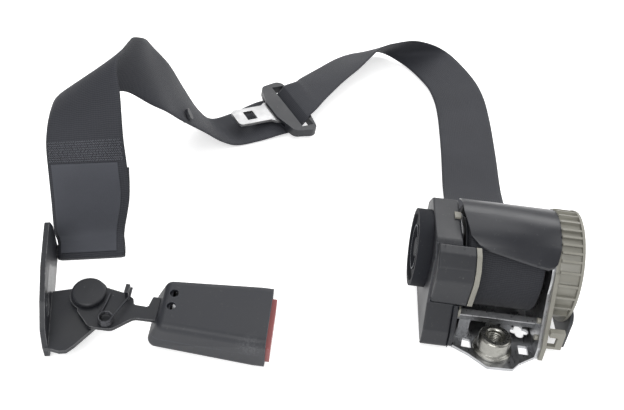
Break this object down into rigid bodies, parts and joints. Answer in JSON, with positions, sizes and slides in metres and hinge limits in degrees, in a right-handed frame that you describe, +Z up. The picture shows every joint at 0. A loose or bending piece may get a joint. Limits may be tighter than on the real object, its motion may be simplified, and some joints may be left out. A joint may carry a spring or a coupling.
{
  "type": "seat belt retractor",
  "caption": "Rear seat belt set: inertia reel in a stamped frame with ribbed spring cover, twisted webbing with a sliding tongue, and an anchor bracket with a hinged buckle.",
  "frame": {"origin": "centre of the reel's mounting thread, at the underside of the frame", "axes": "+X along the spool towards the spring side, +Y the way the belt leaves the reel, +Z up"},
  "size_m": [0.3372, 0.4695, 0.1256],
  "materials": {
    "galvanised_steel": "galvanised sheet, semi-matt",
    "zinc_plated_steel": "zinc plated, satin",
    "bright_steel": "bright, fine-turned",
    "dark_steel": "oiled spring steel",
    "black_paint": "black paint, satin",
    "black_plastic": "fine moulded grain",
    "buckle_plastic": "soft satin",
    "dark_flap": "smooth flexible sheet",
    "beige_plastic": "natural moulding",
    "red_plastic": "satin gloss",
    "belt_cloth": "close twill webbing",
    "belt_label": "smooth woven patch"
  },
  "bodies": {
    "reel": {"frame": "galvanised_steel", "mount_nut": "zinc_plated_steel", "tie_bar": "galvanised_steel", "frame_rivets": "zinc_plated_steel", "spool_bush_left": "beige_plastic", "spool_bush_right": "beige_plastic", "pawl_pin": "bright_steel", "sensor_cover": "black_plastic", "end_cap": "black_plastic", "sensor_carrier": "beige_plastic", "sensor_ball": "bright_steel", "cover_clips": "beige_plastic", "spring_plate": "beige_plastic", "spring_cover": "beige_plastic", "spring_lid": "black_plastic", "power_spring": "dark_steel", "roll_flap": "dark_flap", "anchor_bracket": "black_paint", "pivot_washer": "bright_steel", "pivot_rivet": "black_paint", "webbing": "belt_cloth", "belt_label": "belt_label", "belt_stop": "black_plastic"},
    "spool": {"spool": "black_plastic", "spindle": "bright_steel", "webbing_roll": "belt_cloth", "ratchet_wheel": "bright_steel", "spring_arbor": "black_plastic"},
    "pawl": {"lock_pawl": "dark_steel"},
    "sensor_lever": {"sensor_lever": "beige_plastic"},
    "tongue": {"tongue_plate": "zinc_plated_steel", "tongue_cover": "black_plastic"},
    "buckle": {"wire_spring": "dark_steel", "buckle_stalk": "black_paint", "buckle_lower": "buckle_plastic", "buckle_upper": "buckle_plastic", "buckle_frame": "galvanised_steel", "stalk_rivets": "zinc_plated_steel", "button_springs": "dark_steel", "ejector_spring": "dark_steel"},
    "latch": {"latch": "bright_steel"},
    "ejector": {"ejector": "red_plastic"},
    "button": {"button": "red_plastic"}
  },
  "joints": [
    {"name": "spool_spin", "type": "hinge", "parent": "reel", "child": "spool", "pos_m": [0, 0.045, 0.0395], "axis": [1, 0, 0], "continuous": true},
    {"name": "pawl_swing", "type": "hinge", "parent": "reel", "child": "pawl", "pos_m": [-0.032, 0.02122, 0.01809], "axis": [1, 0, 0], "range_deg": [-5, 5]},
    {"name": "sensor_swing", "type": "hinge", "parent": "reel", "child": "sensor_lever", "pos_m": [-0.034, 0.014, 0.0476], "axis": [1, 0, 0], "range_deg": [-8, 0]},
    {"name": "tongue_slide", "type": "slide", "parent": "reel", "child": "tongue", "axis": [-0.829, -0.5592, 0], "range_m": [-0.008, 0.008], "deforming": ["webbing"]},
    {"name": "buckle_swing", "type": "hinge", "parent": "reel", "child": "buckle", "pos_m": [-0.244, -0.0179, 0.02064], "axis": [0, -0.2419, 0.9703], "range_deg": [-15, 15]},
    {"name": "button_press", "type": "slide", "parent": "buckle", "child": "button", "axis": [-1, 0, 0], "range_m": [0, 0.006], "stiffness_N_per_m": 600, "springref_m": -0.004, "deforming": ["button_springs"]},
    {"name": "latch_drop", "type": "slide", "parent": "buckle", "child": "latch", "axis": [0, 0.2419, -0.9703], "range_m": [0, 0.0018]},
    {"name": "ejector_slide", "type": "slide", "parent": "buckle", "child": "ejector", "axis": [-1, 0, 0], "range_m": [0, 0.006], "stiffness_N_per_m": 300, "springref_m": -0.004, "deforming": ["ejector_spring"]}
  ],
  "couplings": [
    {"joint": "latch_drop", "follows": "button_press", "ratio": 0.3}
  ]
}
